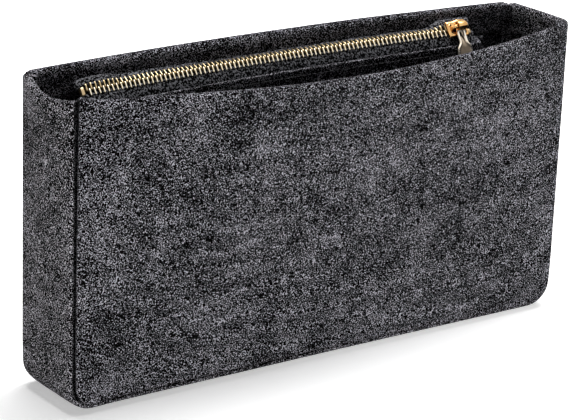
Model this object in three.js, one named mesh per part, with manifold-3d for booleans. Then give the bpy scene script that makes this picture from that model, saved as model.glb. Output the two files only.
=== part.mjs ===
// A felt organizer insert for a handbag: an open felt box with a zipped pocket on its back wall.
// Millimetres, +Z up, +X along the box, front at -Y. The origin is the middle of the base.
import * as THREE from 'three';
import { mergeVertices } from 'three/addons/utils/BufferGeometryUtils.js';
import Module from 'manifold-3d';

const wasm = await Module();
wasm.setup();

// Felt shell
const LENGTH = 260; // end seam to end seam, outside
const DEPTH = 44; // front seam to back seam, outside
const HEIGHT = 136; // base to rim at the corner seams
const CORNER_RADIUS = 12; // lower corners of the front and back panels
const FELT = 2; // thickness of the felt
const HEM = 14; // rim folded down inside
const ALLOWANCE = 9; // felt turned inwards along each seam
const FRONT_BOW = 14; // swelling of the front rim past its seams
const BACK_BOW = 7; // swelling of the back rim
const LEFT_BOW = 4; // swelling of the left end's rim
const RIGHT_BOW = 1; // swelling of the right end's rim
const FRONT_DIP = 6; // sag of the front rim below the corners
const LEFT_DIP = 3.5; // sag of the left end's rim
const RIGHT_DIP = 0.5; // sag of the right end's rim
const BOW_POWER = 1.6; // the swelling grows with this power of the height
const GAP = 0.3; // clearance between pieces that touch

// Zip chain
const PITCH = 2.25; // tooth to tooth on one row
const CHAIN_WIDTH = 5.8; // across both rows
const CORD_WIDTH = 1.2; // edge of each row that grips the tape
const TOOTH_BITE = 0.5; // each tooth reaches this far past the middle of the chain
const TOOTH_HEIGHT = 2.4;
const CHAIN_TILT = THREE.MathUtils.degToRad(52); // the chain faces up and this far to the front
const CHAIN_DROP = 8.3; // chain below the rim at the parked slider
const CHAIN_FALL = 2; // the left end of the tapes lies this much lower than the right end
const STOP_LENGTH = 2;

// Zip tapes
const TAPE = 0.6; // thickness
const TAPE_INSET_LEFT = 23; // end seam to tape end
const TAPE_INSET_RIGHT = 29;
const TAPE_TAIL = 1.5; // tape past the stops
const TAPE_SHOW = 3.6; // front tape between the teeth and the pocket felt
const FRONT_LAP = 8; // front tape sewn flat behind the pocket felt
const REAR_LAP = 6; // rear tape sewn flat onto the back hem

// Slider and pull
const SLIDER_LENGTH = 11;
const SLIDER_TAIL = 7.4; // width at the closed end
const SLIDER_SHOULDER = 8.6; // width at the open end
const SLIDER_TAIL_CHAMFER = 0.5;
const SLIDER_NOSE_CHAMFER = 1;
const SLIDER_FLARE = 2.5; // length over which the tail widens to the shoulder
const SLIDER_PLATE = 0.9;
const DIAMOND_LENGTH = 4.4;
const DIAMOND_TAPER = 2.6; // from the diamond's tip to its widest place
const CROWN_BAR = 1.2; // height of the crown's bar
const CROWN_WIDTH = 1.5;
const CROWN_POST = 1.2;
const PULL_LENGTH = 20; // crown bar to the tip
const PULL_WIDTH = 8.2;
const PULL_NECK = 4.6; // width of the neck and the rolled eye
const PULL_NECK_LENGTH = 5;
const PULL_SHOULDER = 4; // length over which the neck widens
const PULL_THICKNESS = 1.2;
const PULL_EYE_WALL = 0.9;
const PULL_RIM = 1; // raised edge round the sunk field
const PULL_FIELD = 0.35; // depth of the sunk field

// Pocket and stitching
const POCKET_TURN = 8; // the pocket felt turns back to the wall over this length
const POCKET_FLANGE = 4; // felt sewn flat to the wall at each end
const STITCH_INSET = 3; // stitch line below the top edge of the pocket felt
const REAR_STITCH = 1.5; // rear stitch line above the lower edge of the rear tape
const THREAD = 0.6;

// Points along the curved forms
const SEAM_TURN_POINTS = 6;
const FOLD_POINTS = 5;
const PANEL_CORNER_POINTS = 7;
const PANEL_COLUMNS = 12;
const PANEL_ROWS = 9;
const END_ROWS = 6;
const END_COLUMNS = 4;
const POCKET_TURN_POINTS = 7;
const POCKET_COLUMNS = 6;
const POCKET_ROWS = 7;
const TAPE_POINTS = 13;
const SIDE_STITCH_POINTS = 9;
const PULL_CURVE_STEPS = 8;
const CROWN_CURVE_STEPS = 3;
const EYE_SIDES = 24;

const feltMaterial = new THREE.MeshStandardMaterial({ color: 0x4a4a4f, roughness: 0.96, metalness: 0 });
const gussetMaterial = new THREE.MeshStandardMaterial({ color: 0x515055, roughness: 0.96, metalness: 0 });
const tapeMaterial = new THREE.MeshStandardMaterial({ color: 0x1d1d20, roughness: 0.85, metalness: 0 });
const threadMaterial = new THREE.MeshStandardMaterial({ color: 0x2b2b2f, roughness: 0.7, metalness: 0 });
const goldMaterial = new THREE.MeshStandardMaterial({ color: 0xdcb35c, roughness: 0.2, metalness: 1 });

const part = new THREE.Group();
const { lerp, smoothstep } = THREE.MathUtils;

function addMesh(parent, name, geometry, material) {
  const mesh = new THREE.Mesh(geometry, material);
  mesh.name = name;
  parent.add(mesh);
  return mesh;
}

function toManifold(geometry) {
  const bare = geometry.clone();
  bare.deleteAttribute('normal');
  bare.deleteAttribute('uv');
  const merged = mergeVertices(bare, 1e-4);
  const vertProperties = new Float32Array(merged.attributes.position.array);
  const triVerts = new Uint32Array(merged.index.array);
  return new wasm.Manifold(new wasm.Mesh({ numProp: 3, vertProperties, triVerts }));
}

function toGeometry(manifold) {
  const mesh = manifold.getMesh();
  const geometry = new THREE.BufferGeometry();
  geometry.setAttribute('position', new THREE.BufferAttribute(mesh.vertProperties, 3));
  geometry.setIndex(new THREE.BufferAttribute(mesh.triVerts, 1));
  geometry.computeVertexNormals();
  return geometry;
}

function join(first, ...others) {
  return toGeometry(others.reduce((sum, other) => sum.add(toManifold(other)), toManifold(first)));
}

function cut(first, ...others) {
  return toGeometry(others.reduce((rest, other) => rest.subtract(toManifold(other)), toManifold(first)));
}

// A closed body between two grids of points; point(column, row, side) gives side 0 or side 1
function sheet(columns, rows, point) {
  const corners = [];
  const triangles = [];
  const index = (column, row, side) => (side * rows + row) * columns + column;
  const quad = (a, b, c, d) => triangles.push(a, b, c, a, c, d);
  for (const side of [0, 1]) {
    for (let row = 0; row < rows; row += 1) {
      for (let column = 0; column < columns; column += 1) {
        corners.push(...point(column, row, side));
      }
    }
  }
  for (let row = 0; row + 1 < rows; row += 1) {
    for (let column = 0; column + 1 < columns; column += 1) {
      const [right, up] = [column + 1, row + 1];
      quad(index(column, row, 0), index(right, row, 0), index(right, up, 0), index(column, up, 0));
      quad(index(column, up, 1), index(right, up, 1), index(right, row, 1), index(column, row, 1));
    }
  }
  for (let column = 0; column + 1 < columns; column += 1) {
    const [right, top] = [column + 1, rows - 1];
    quad(index(column, 0, 1), index(right, 0, 1), index(right, 0, 0), index(column, 0, 0));
    quad(index(column, top, 0), index(right, top, 0), index(right, top, 1), index(column, top, 1));
  }
  for (let row = 0; row + 1 < rows; row += 1) {
    const [up, last] = [row + 1, columns - 1];
    quad(index(0, row, 0), index(0, up, 0), index(0, up, 1), index(0, row, 1));
    quad(index(last, row, 1), index(last, up, 1), index(last, up, 0), index(last, row, 0));
  }
  const geometry = new THREE.BufferGeometry();
  geometry.setAttribute('position', new THREE.Float32BufferAttribute(corners, 3));
  geometry.setIndex(facesOut(corners, triangles) ? triangles : triangles.reverse());
  geometry.computeVertexNormals();
  return geometry;
}

function facesOut(corners, triangles) {
  const vertex = (i) => new THREE.Vector3().fromArray(corners, 3 * triangles[i]);
  let volume = 0;
  for (let i = 0; i < triangles.length; i += 3) {
    volume += vertex(i).dot(vertex(i + 1).cross(vertex(i + 2)));
  }
  return volume > 0;
}

function spread(start, end, count) {
  return Array.from({ length: count }, (_, i) => lerp(start, end, i / (count - 1)));
}

// Shape of the felt walls: flat at the seams, swelling towards the middle of each rim
const halfLength = LENGTH / 2;
const halfDepth = DEPTH / 2;
const hemFelt = 2 * FELT;
const hemLine = HEIGHT - HEM;
const bulge = (x) => 1 - (x / halfLength) ** 2;
const endBulge = (y) => (1 - (y / halfDepth) ** 2) ** 2;
const rise = (z) => (Math.max(z, 0) / HEIGHT) ** BOW_POWER;
const wallSwell = (side, x, z) => (side < 0 ? FRONT_BOW : BACK_BOW) * bulge(x) * rise(z);
const wallFace = (side, x, z) => side * (halfDepth + wallSwell(side, x, z));
const wallTop = (side, x) => HEIGHT - (side < 0 ? FRONT_DIP * bulge(x) : 0);

function cornerHeight(x) {
  const past = Math.max(Math.abs(x) - (halfLength - CORNER_RADIUS), 0);
  return CORNER_RADIUS - Math.sqrt(CORNER_RADIUS ** 2 - past ** 2);
}

// Stations along a seam, from the top of the left end round the base to the top of the right end,
// with the direction that points into the box
function seamStations(sideHeights) {
  const turn = spread(0, Math.PI / 2, SEAM_TURN_POINTS).map((angle) => ({
    x: -halfLength + CORNER_RADIUS * (1 - Math.cos(angle)),
    z: CORNER_RADIUS * (1 - Math.sin(angle)),
    inX: Math.cos(angle),
    inZ: Math.sin(angle),
  }));
  const left = sideHeights.map((z) => ({ x: -halfLength, z, inX: 1, inZ: 0 })).concat(turn);
  const right = left.map((station) => ({ ...station, x: -station.x, inX: -station.inX })).reverse();
  return left.concat(right);
}

// Where the turned-in edges of a seam lie: pairs of [inwards from the end felt, inwards from the panel]
const foldRun = ALLOWANCE / Math.SQRT2;
const foldFelt = FELT / Math.SQRT2;
const foldGap = GAP / Math.SQRT2;
const foldRoot = [GAP, FELT + 2 * GAP];
const foldTip = [foldRoot[0] + foldRun, foldRoot[1] + foldRun];
const gussetFold = [
  [foldRoot, foldTip],
  [
    [FELT / 2, foldRoot[1] - foldRoot[0] + FELT / 2 + 2 * foldFelt],
    [foldTip[0] - foldFelt, foldTip[1] + foldFelt],
  ],
];
const panelFold = [
  [[GAP, FELT / 2], [foldTip[0] + foldGap, foldTip[1] - foldGap]],
  [[FELT + GAP, FELT / 2], [foldTip[0] + foldGap + foldFelt, foldTip[1] - foldGap - foldFelt]],
];
const foldReach = panelFold[1][1][0];
const foldTop = HEIGHT - HEM - Math.max(LEFT_DIP, RIGHT_DIP) - GAP;
const foldStations = seamStations(spread(foldTop, CORNER_RADIUS, FOLD_POINTS).slice(0, -1));

const atStation = ({ x, z, inX, inZ }, [inwards, fromPanel], side) => [
  x + inX * inwards,
  side * (halfDepth - fromPanel),
  z + inZ * inwards,
];

function seamFold(side, lines) {
  return sheet(foldStations.length, 2, (i, row, face) => atStation(foldStations[i], lines[face][row], side));
}

function feltPanel(side) {
  const turn = spread(0, Math.PI / 2, PANEL_CORNER_POINTS);
  const corner = turn.map((angle) => CORNER_RADIUS * (1 - Math.cos(angle)));
  const hemStart = FELT + GAP;
  const inset = [...corner, hemStart, hemStart + GAP].sort((a, b) => a - b);
  const straight = halfLength - CORNER_RADIUS;
  const middle = spread(-straight, straight, PANEL_COLUMNS).slice(1, -1);
  const xs = [
    ...inset.map((distance) => distance - halfLength),
    ...middle,
    ...inset.map((distance) => halfLength - distance).reverse(),
  ];
  const bodyRows = spread(0, 1, PANEL_ROWS);
  const hemRow = bodyRows.length;
  const panel = sheet(xs.length, hemRow + 2, (i, row, face) => {
    const x = xs[i];
    const fold = wallTop(side, x) - HEM;
    const hemHeights = [fold + GAP, wallTop(side, x)];
    const z = row < hemRow ? lerp(cornerHeight(x), fold, bodyRows[row]) : hemHeights[row - hemRow];
    const inHem = row >= hemRow && Math.abs(x) < halfLength - hemStart - GAP / 2;
    const felt = inHem ? hemFelt : FELT;
    return [x, wallFace(side, x, z) - side * face * felt, z];
  });
  return join(panel, seamFold(side, panelFold));
}

function gussetStrip() {
  const edge = halfDepth - FELT - GAP;
  const hemEdge = halfDepth - hemFelt - 2 * GAP;
  const half = [edge, hemEdge, ...spread(hemEdge - GAP, 0, END_COLUMNS).slice(0, -1)];
  const ys = [...half.map((y) => -y), 0, ...half.reverse()];
  const heights = [HEIGHT, hemLine + GAP, hemLine, ...spread(hemLine, CORNER_RADIUS, END_ROWS).slice(1, -1)];
  const stations = seamStations(heights);
  const strip = sheet(stations.length, ys.length, (i, row, face) => {
    const { x, z, inX, inZ } = stations[i];
    const mitre = Math.abs(ys[row]) > hemEdge ? face * FELT : 0;
    const y = ys[row] - Math.sign(ys[row]) * mitre;
    const inHem = z > hemLine && Math.abs(ys[row]) < hemEdge - GAP / 2;
    const swell = endBulge(ys[row]) * rise(z);
    const inwards = face * (inHem ? hemFelt : FELT) - (inX > 0 ? LEFT_BOW : RIGHT_BOW) * swell;
    const sag = (inX > 0 ? LEFT_DIP : RIGHT_DIP) * swell;
    return [x + inX * inwards, y, z + inZ * inwards - sag];
  });
  return join(strip, seamFold(-1, gussetFold), seamFold(1, gussetFold));
}

addMesh(part, 'front_panel', feltPanel(-1), feltMaterial);
addMesh(part, 'back_panel', feltPanel(1), feltMaterial);
addMesh(part, 'gusset_strip', gussetStrip(), gussetMaterial);

// Places along the zip, measured on X
const tapeStart = TAPE_INSET_LEFT - halfLength;
const tapeEnd = halfLength - TAPE_INSET_RIGHT;
const bottomStopEnd = tapeStart + TAPE_TAIL + STOP_LENGTH;
const topStopStart = tapeEnd - TAPE_TAIL - STOP_LENGTH;
const chainStart = bottomStopEnd + GAP;
const chainEnd = topStopStart - GAP;
const sliderX = chainEnd - SLIDER_LENGTH / 2;

// Heights across the slider, measured from the middle of the chain
const halfChain = CHAIN_WIDTH / 2;
const channel = TOOTH_HEIGHT / 2 + GAP;
const sliderHalf = channel + SLIDER_PLATE;
const eyeInner = Math.hypot(CROWN_BAR, CROWN_WIDTH) / 2 + GAP;
const eyeOuter = eyeInner + PULL_EYE_WALL;
const crownOpening = eyeOuter - CROWN_BAR / 2 + GAP;
const crownFoot = sliderHalf + GAP;
const crownBarHeight = crownFoot + crownOpening + CROWN_BAR / 2;

// The chain is straight and falls towards the left end
const chainAngle = Math.atan2(CHAIN_FALL, tapeEnd - tapeStart);
const chainZ = (x) => HEIGHT - CHAIN_DROP - (sliderX - x) * Math.tan(chainAngle);

// The slider passes the back hem, and the tape on it, with a gap at both ends of its travel
const hemFace = (x, z) => wallFace(1, x, z) - hemFelt;
const sliderReach = (SLIDER_SHOULDER / 2) * Math.cos(CHAIN_TILT) + sliderHalf * Math.sin(CHAIN_TILT);
const nearestHem = Math.min(...[chainStart, chainEnd].map((x) => hemFace(x, chainZ(x))));
const chainY = nearestHem - 2 * GAP - TAPE - sliderReach;
const besideChain = (across, above) => chainY + across * Math.cos(CHAIN_TILT) - above * Math.sin(CHAIN_TILT);
const aboveChain = (across, above) => across * Math.sin(CHAIN_TILT) + above * Math.cos(CHAIN_TILT);
const fromChain = (x, across, above) => [besideChain(across, above), chainZ(x) + aboveChain(across, above)];

// The pocket felt hangs from the front tape, leans back to the base seam and turns back to the wall
const tapeBend = (x) => fromChain(x, -halfChain - TAPE_SHOW, 0);
const pocketTop = (x) => tapeBend(x)[1] - TAPE / 2;
const pocketTopY = tapeBend(sliderX)[0] - TAPE / 2 - GAP - FELT / 2;
const pocketBottom = foldReach + GAP;
const pocketBottomY = halfDepth - (panelFold[0][1][1] + panelFold[1][1][1]) / 2;
const turnStart = tapeStart - GAP;
const turnEnd = tapeEnd + GAP;
const pocketStart = turnStart - POCKET_TURN - POCKET_FLANGE;
const pocketFinish = turnEnd + POCKET_TURN + POCKET_FLANGE;

const standOff = (x) =>
  smoothstep(x, turnStart - POCKET_TURN, turnStart) * (1 - smoothstep(x, turnEnd, turnEnd + POCKET_TURN));

function pocketY(x, z) {
  const face = lerp(pocketBottomY, pocketTopY, (z - pocketBottom) / (pocketTop(x) - pocketBottom));
  const onWall = wallFace(1, x, z) - FELT - GAP - FELT / 2;
  return lerp(onWall, face, standOff(x));
}

function pocketNormal(x, z) {
  const step = 0.01;
  const slopeX = (pocketY(x + step, z) - pocketY(x - step, z)) / (2 * step);
  const slopeZ = (pocketY(x, z + step) - pocketY(x, z - step)) / (2 * step);
  return new THREE.Vector3(-slopeX, 1, -slopeZ).normalize();
}

function zipPocketPanel() {
  const turn = spread(0, POCKET_TURN, POCKET_TURN_POINTS).slice(0, -1);
  const xs = [
    pocketStart,
    ...turn.map((run) => turnStart - POCKET_TURN + run),
    ...spread(turnStart, turnEnd, POCKET_COLUMNS),
    ...turn.map((run) => turnEnd + POCKET_TURN - run).reverse(),
    pocketFinish,
  ];
  const heights = spread(0, 1, POCKET_ROWS);
  return sheet(xs.length, heights.length, (i, row, face) => {
    const x = xs[i];
    const top = lerp(hemLine - GAP, pocketTop(x), standOff(x));
    const z = lerp(pocketBottom, top, heights[row]);
    const offset = pocketNormal(x, z).multiplyScalar((face - 0.5) * FELT);
    return [x + offset.x, pocketY(x, z) + offset.y, z];
  });
}

addMesh(part, 'zip_pocket_panel', zipPocketPanel(), feltMaterial);

// A tape is a ribbon along X; route(x) lists its [y, z] bends and the way its thickness faces there
function tape(bends, route) {
  const xs = spread(tapeStart, tapeEnd, TAPE_POINTS);
  return sheet(xs.length, bends, (i, row, face) => {
    const [y, z, facing] = route(xs[i])[row];
    const shift = (face - 0.5) * TAPE;
    return [xs[i], y + shift * Math.cos(facing), z + shift * Math.sin(facing)];
  });
}

const tapeEdge = halfChain + GAP;
const chainFacing = Math.PI / 2 + CHAIN_TILT;
const lapY = (x, z) => pocketY(x, z) + FELT / 2 + GAP + TAPE / 2;
const frontLapEnd = (x) => tapeBend(x)[1] - FRONT_LAP;
const frontTape = tape(3, (x) => [
  [...fromChain(x, -tapeEdge, 0), chainFacing],
  [...tapeBend(x), (chainFacing + Math.PI) / 2],
  [lapY(x, frontLapEnd(x)), frontLapEnd(x), Math.PI],
]);
addMesh(part, 'zip_tape_front', frontTape, tapeMaterial);

// The rear tape leaves the slider's slot, runs level to the hem and turns down onto it
const slotEnd = SLIDER_SHOULDER / 2 + GAP + TAPE / 2;
const rearTurn = (x) => fromChain(x, slotEnd, 0)[1];
const rearLapEnd = (x) => rearTurn(x) - REAR_LAP;
const rearLapY = (x, z) => hemFace(x, z) - GAP - TAPE / 2;
const rearTape = tape(4, (x) => [
  [...fromChain(x, tapeEdge, 0), chainFacing],
  [...fromChain(x, slotEnd, 0), (chainFacing + Math.PI / 2) / 2],
  [rearLapY(x, rearTurn(x)), rearTurn(x), Math.PI / 4],
  [rearLapY(x, rearLapEnd(x)), rearLapEnd(x), 0],
]);
addMesh(part, 'zip_tape_rear', rearTape, tapeMaterial);

// The chain, its stops and the slider share a group turned with the chain; local +Y is the rear row
const zip = new THREE.Group();
zip.position.set(0, chainY, chainZ(0));
zip.rotation.set(CHAIN_TILT, -chainAngle, 0, 'YXZ');
part.add(zip);

const toothWidth = PITCH / 2 - GAP;
const diamondTip = sliderX + SLIDER_LENGTH / 2 - DIAMOND_LENGTH;

function teethRow(side, firstTooth) {
  const cordInner = halfChain - CORD_WIDTH;
  const count = Math.floor((diamondTip - GAP - toothWidth / 2 - firstTooth) / PITCH) + 1;
  const cordStart = [[chainStart, cordInner], [chainStart, halfChain]];
  const cordEnd = [[chainEnd, halfChain], [chainEnd, cordInner]];
  const outline = [...cordStart, ...cordEnd];
  for (let i = count - 1; i >= 0; i -= 1) {
    const x = firstTooth + i * PITCH;
    outline.push([x + toothWidth / 2, cordInner], [x + toothWidth / 2, -TOOTH_BITE]);
    outline.push([x - toothWidth / 2, -TOOTH_BITE], [x - toothWidth / 2, cordInner]);
  }
  const shape = new THREE.Shape(outline.map(([x, y]) => new THREE.Vector2(x, side * y)));
  const row = new THREE.ExtrudeGeometry(shape, { depth: TOOTH_HEIGHT, bevelEnabled: false });
  return row.translate(0, 0, -TOOTH_HEIGHT / 2);
}

const firstTooth = chainStart + toothWidth;
addMesh(zip, 'zip_teeth_rear', teethRow(1, firstTooth), goldMaterial);
addMesh(zip, 'zip_teeth_front', teethRow(-1, firstTooth + PITCH / 2), goldMaterial);

const stopHeight = 2 * channel;
const bottomStop = new THREE.BoxGeometry(STOP_LENGTH, CHAIN_WIDTH, stopHeight);
addMesh(zip, 'zip_bottom_stop', bottomStop, goldMaterial).position.x = bottomStopEnd - STOP_LENGTH / 2;

const topStopWidth = halfChain - 2 * GAP;
for (const [name, side] of [['zip_top_stop_rear', 1], ['zip_top_stop_front', -1]]) {
  const stop = addMesh(zip, name, new THREE.BoxGeometry(STOP_LENGTH, topStopWidth, stopHeight), goldMaterial);
  stop.position.set(topStopStart + STOP_LENGTH / 2, side * (halfChain - topStopWidth / 2), 0);
}

// Slider: two plates joined by the diamond that parts the rows, with side walls slotted for the tapes
function planPrism(points, height) {
  const shape = new THREE.Shape(points.map(([x, y]) => new THREE.Vector2(x, y)));
  const prism = new THREE.ExtrudeGeometry(shape, { depth: height, bevelEnabled: false });
  return prism.translate(0, 0, -height / 2);
}

function sliderBody() {
  const half = SLIDER_LENGTH / 2;
  const [tail, shoulder] = [SLIDER_TAIL / 2, SLIDER_SHOULDER / 2];
  const waist = half - DIAMOND_LENGTH;
  const upper = [
    [-half, tail - SLIDER_TAIL_CHAMFER],
    [-half + SLIDER_TAIL_CHAMFER, tail],
    [waist - SLIDER_FLARE, tail],
    [waist, shoulder],
    [half - SLIDER_NOSE_CHAMFER, shoulder],
    [half, shoulder - SLIDER_NOSE_CHAMFER],
  ];
  const lower = upper.map(([x, y]) => [x, -y]).reverse();
  const block = planPrism([...upper, ...lower], 2 * sliderHalf);
  const throughLength = 2 * SLIDER_LENGTH;
  const chainWay = new THREE.BoxGeometry(throughLength, CHAIN_WIDTH + 2 * GAP, 2 * channel);
  const tapeWay = new THREE.BoxGeometry(throughLength, 2 * SLIDER_SHOULDER, TAPE + 2 * GAP);
  const diamondHalf = halfChain - CORD_WIDTH - GAP;
  const widest = waist + DIAMOND_TAPER;
  const diamondUpper = [[waist, 0], [widest, diamondHalf], [half, diamondHalf / 2]];
  const diamondLower = [[half, -diamondHalf / 2], [widest, -diamondHalf]];
  const diamond = planPrism([...diamondUpper, ...diamondLower], 2 * channel + SLIDER_PLATE);
  return join(cut(block, chainWay, tapeWay), diamond);
}

addMesh(zip, 'slider_body', sliderBody(), goldMaterial).position.x = sliderX;

function sliderCrown() {
  const inner = PULL_NECK / 2 + GAP;
  const outer = inner + CROWN_POST;
  const top = crownOpening + CROWN_BAR;
  const shape = new THREE.Shape();
  shape.moveTo(-outer, 0);
  shape.lineTo(-inner, 0);
  shape.lineTo(-inner, crownOpening);
  shape.lineTo(inner, crownOpening);
  shape.lineTo(inner, 0);
  shape.lineTo(outer, 0);
  shape.lineTo(outer, top - CROWN_POST);
  shape.absarc(inner, top - CROWN_POST, CROWN_POST, 0, Math.PI / 2);
  shape.lineTo(-inner, top);
  shape.absarc(-inner, top - CROWN_POST, CROWN_POST, Math.PI / 2, Math.PI);
  const options = { depth: CROWN_WIDTH, bevelEnabled: false, curveSegments: CROWN_CURVE_STEPS };
  const crown = new THREE.ExtrudeGeometry(shape, options);
  return crown.translate(0, 0, -CROWN_WIDTH / 2).rotateX(Math.PI / 2);
}

addMesh(zip, 'slider_crown', sliderCrown(), goldMaterial).position.set(sliderX, 0, crownFoot);

// Pull: a rolled eye on the crown's bar and a bottle-shaped tab hanging from its front
function pullOutline(inset) {
  const neck = PULL_NECK / 2 - inset;
  const belly = PULL_WIDTH / 2 - inset;
  const top = inset > 0 ? -PULL_NECK_LENGTH : 0;
  const shoulder = -PULL_NECK_LENGTH - PULL_SHOULDER;
  const middle = (shoulder - PULL_NECK_LENGTH) / 2;
  const low = PULL_WIDTH / 2 - PULL_LENGTH;
  const shape = new THREE.Shape();
  shape.moveTo(neck, top);
  shape.lineTo(neck, -PULL_NECK_LENGTH);
  shape.bezierCurveTo(neck, middle, belly, middle, belly, shoulder);
  shape.lineTo(belly, low);
  shape.absarc(0, low, belly, 0, -Math.PI, true);
  shape.lineTo(-belly, shoulder);
  shape.bezierCurveTo(-belly, middle, -neck, middle, -neck, -PULL_NECK_LENGTH);
  shape.lineTo(-neck, top);
  return shape;
}

function pullTab() {
  const options = { depth: PULL_THICKNESS, bevelEnabled: false, curveSegments: PULL_CURVE_STEPS };
  const plate = new THREE.ExtrudeGeometry(pullOutline(0), options);
  const field = new THREE.ExtrudeGeometry(pullOutline(PULL_RIM), options);
  plate.rotateX(Math.PI / 2).translate(0, PULL_THICKNESS - eyeOuter, 0);
  field.rotateX(Math.PI / 2).translate(0, PULL_FIELD - eyeOuter, 0);
  const half = PULL_NECK / 2;
  const section = [[eyeInner, -half], [eyeOuter, -half], [eyeOuter, half], [eyeInner, half]];
  const profile = [...section, section[0]].map(([radius, along]) => new THREE.Vector2(radius, along));
  const eye = new THREE.LatheGeometry(profile, EYE_SIDES);
  return join(cut(plate, field), eye.rotateZ(Math.PI / 2));
}

// The pull hangs as far back as the slider's edge and the pocket's edge let it
const [pivotY, pivotZ] = fromChain(sliderX, 0, crownBarHeight);
function leanPast([y, z]) {
  const reach = Math.hypot(y - pivotY, z - pivotZ);
  const below = Math.atan2(pivotY - y, pivotZ - z);
  return below - Math.asin((eyeOuter - PULL_THICKNESS - GAP) / reach);
}
const sliderEdge = fromChain(sliderX, -SLIDER_SHOULDER / 2, sliderHalf);
const pocketEdge = [pocketTopY - FELT / 2, pocketTop(sliderX)];
const pull = addMesh(part, 'pull_tab', pullTab(), goldMaterial);
pull.position.set(sliderX, pivotY, pivotZ);
pull.rotation.set(-Math.max(leanPast(sliderEdge), leanPast(pocketEdge)), -chainAngle, 0, 'YXZ');

// Stitch lines lie on the felt or tape that they hold; centre(i) is the middle of the thread
function stitchLine(count, centre, across, through) {
  const thick = (vector, share) => vector.map((length) => length * THREAD * (share - 0.5));
  return sheet(count, 2, (i, row, face) => {
    const [a, b] = [thick(across(i), row), thick(through(i), face)];
    return centre(i).map((value, axis) => value + a[axis] + b[axis]);
  });
}

const alongY = () => [0, 1, 0];
const alongZ = () => [0, 0, 1];
const alongX = () => [1, 0, 0];

const seamInwards = FELT + GAP + THREAD / 2;
const foldLine = gussetFold[1][1][1] - gussetFold[1][1][0];
const seamFromPanel = seamInwards + foldLine + (GAP + THREAD / Math.SQRT2) * Math.SQRT2;
for (const [name, side] of [['front_seam_thread', -1], ['back_seam_thread', 1]]) {
  const centre = (i) => atStation(foldStations[i], [seamInwards, seamFromPanel], side);
  const inwards = (i) => [foldStations[i].inX, 0, foldStations[i].inZ];
  addMesh(part, name, stitchLine(foldStations.length, centre, alongY, inwards), threadMaterial);
}

const stitchXs = spread(tapeStart, tapeEnd, TAPE_POINTS);
const frontStitchZ = (x) => pocketTop(x) - STITCH_INSET;
const frontStitchY = (x) => pocketY(x, frontStitchZ(x)) - FELT / 2 - GAP - THREAD / 2;
const frontCentres = stitchXs.map((x) => [x, frontStitchY(x), frontStitchZ(x)]);
const frontStitch = stitchLine(stitchXs.length, (i) => frontCentres[i], alongZ, alongY);
addMesh(part, 'zip_thread_front', frontStitch, threadMaterial);

const rearStitchZ = (x) => rearLapEnd(x) + REAR_STITCH;
const rearStitchY = (x) => rearLapY(x, rearStitchZ(x)) - TAPE / 2 - GAP - THREAD / 2;
const rearCentres = stitchXs.map((x) => [x, rearStitchY(x), rearStitchZ(x)]);
const rearStitch = stitchLine(stitchXs.length, (i) => rearCentres[i], alongZ, alongY);
addMesh(part, 'zip_thread_rear', rearStitch, threadMaterial);

const sideStitchZs = spread(pocketBottom + STITCH_INSET, hemLine - STITCH_INSET, SIDE_STITCH_POINTS);
const sideStitches = [
  ['pocket_thread_left', pocketStart + POCKET_FLANGE / 2],
  ['pocket_thread_right', pocketFinish - POCKET_FLANGE / 2],
];
for (const [name, x] of sideStitches) {
  const centre = (i) => [x, pocketY(x, sideStitchZs[i]) - FELT / 2 - GAP - THREAD / 2, sideStitchZs[i]];
  addMesh(part, name, stitchLine(sideStitchZs.length, centre, alongX, alongY), threadMaterial);
}

export default part;
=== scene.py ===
"""Looks of a felt organizer insert with a zipped pocket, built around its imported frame."""

import math

import bmesh
import bpy
from mathutils import Matrix, Vector, noise


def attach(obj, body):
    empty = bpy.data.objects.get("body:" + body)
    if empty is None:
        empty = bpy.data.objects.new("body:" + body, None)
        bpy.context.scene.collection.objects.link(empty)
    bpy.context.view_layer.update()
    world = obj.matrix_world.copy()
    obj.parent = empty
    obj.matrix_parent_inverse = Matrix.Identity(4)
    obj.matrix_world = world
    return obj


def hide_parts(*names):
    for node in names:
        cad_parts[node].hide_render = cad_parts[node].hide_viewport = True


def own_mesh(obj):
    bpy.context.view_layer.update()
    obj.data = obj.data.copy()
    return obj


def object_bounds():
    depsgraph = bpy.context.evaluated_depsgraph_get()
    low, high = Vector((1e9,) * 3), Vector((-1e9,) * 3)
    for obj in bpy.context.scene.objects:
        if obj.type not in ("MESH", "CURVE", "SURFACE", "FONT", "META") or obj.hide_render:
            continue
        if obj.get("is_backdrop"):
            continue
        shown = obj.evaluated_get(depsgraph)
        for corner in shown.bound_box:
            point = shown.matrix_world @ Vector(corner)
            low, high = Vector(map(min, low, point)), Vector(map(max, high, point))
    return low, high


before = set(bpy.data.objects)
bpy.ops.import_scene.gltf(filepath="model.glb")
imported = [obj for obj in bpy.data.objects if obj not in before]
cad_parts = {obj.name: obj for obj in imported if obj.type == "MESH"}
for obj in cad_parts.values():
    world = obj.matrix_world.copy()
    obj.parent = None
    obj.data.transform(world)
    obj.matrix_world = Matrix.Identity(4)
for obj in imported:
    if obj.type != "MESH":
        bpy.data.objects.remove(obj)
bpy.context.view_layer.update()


# Front and back panels: 2 mm needle felt in mottled dark grey, cut with rounded lower corners.
# The rim is folded inside as a hem, and the other three edges turn in where they are sewn
# to the end strip, so that each seam shows as a groove between two rounded edges, darkened by painted shade.
MM = 0.001
HALF_LENGTH = 130
HALF_DEPTH = 22
HEIGHT = 136
CORNER = 12
FELT = 2
HEM = 14
FRONT_BOW = 14
BACK_BOW = 7
LEFT_BOW = 4
RIGHT_BOW = 0.6
FRONT_DIP = 6
BOW_POWER = 1.6
RIM_SLACK = 1.6  # the front rim sags by this beside the left corner
SLACK_AT = 114
SLACK_SPREAD = 16
SWELL = 0.7  # the felt is never quite flat: it has wide low swells
SWELL_LENGTH = 46
SWELL_DEPTH = 30
SWELL_START = 3.1
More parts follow.
